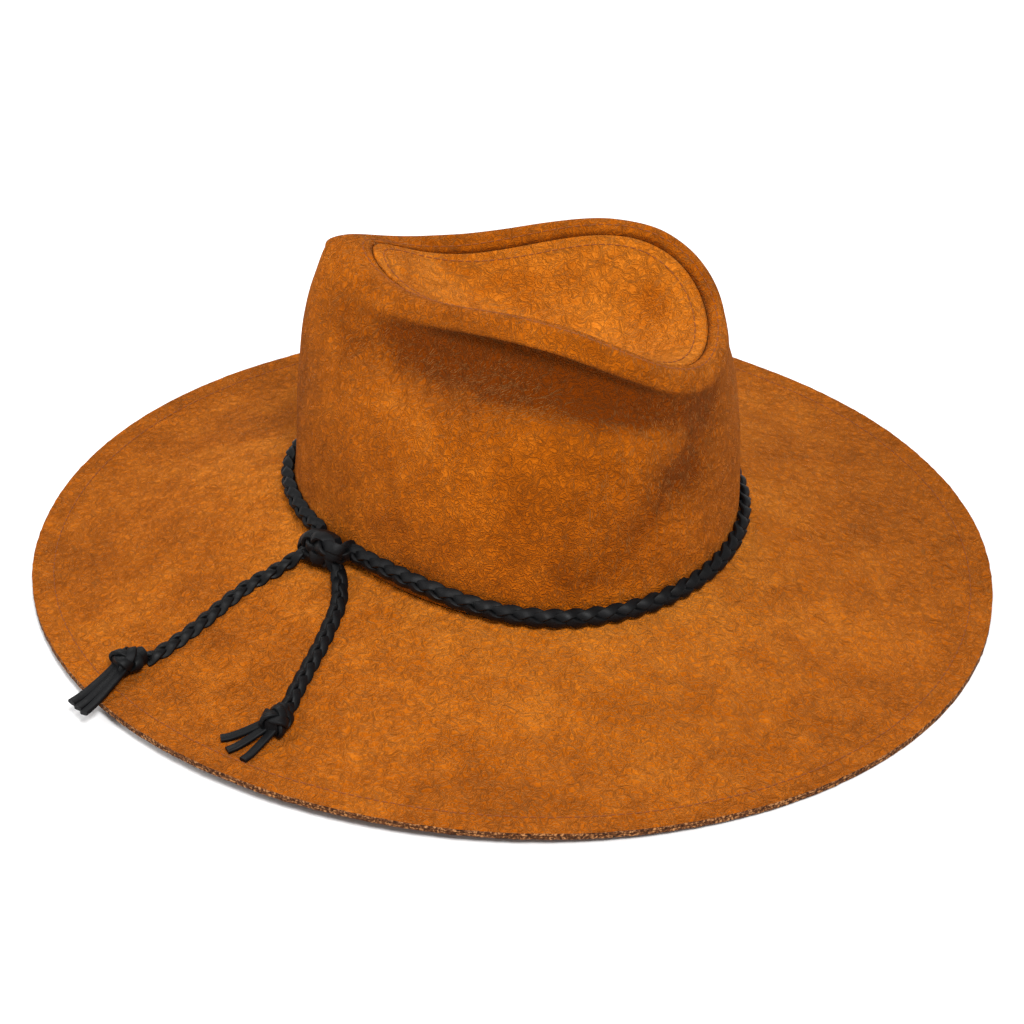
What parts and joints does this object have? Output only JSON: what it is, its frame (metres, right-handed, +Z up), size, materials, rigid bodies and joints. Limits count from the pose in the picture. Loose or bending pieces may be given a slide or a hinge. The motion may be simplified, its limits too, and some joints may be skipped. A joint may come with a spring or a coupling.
{
  "type": "wide-brim fedora",
  "caption": "Wide-brim fedora in suede: teardrop crown with a sewn tip, a layered brim, and a plaited leather cord tied round the crown with loose knotted ends.",
  "frame": {"origin": "middle of the brim in plan, on the surface that the hat rests on", "axes": "+Z up through the crown, -X towards the wearer's front, -Y towards the wearer's left, where the knot is"},
  "size_m": [0.425, 0.402, 0.1508],
  "materials": {
    "tan_suede": "napped suede, matt",
    "dark_suede": "napped suede, matt, darker underside",
    "black_leather": "smooth, low sheen"
  },
  "bodies": {
    "root": {"crown_side": "tan_suede", "crown_tip": "tan_suede", "brim_upper": "tan_suede", "brim_under": "dark_suede", "hat_band": "black_leather", "band_knot": "black_leather", "cord_end_front": "black_leather", "cord_end_back": "black_leather", "tassel_front": "black_leather", "tassel_back": "black_leather"}
  },
  "joints": []
}
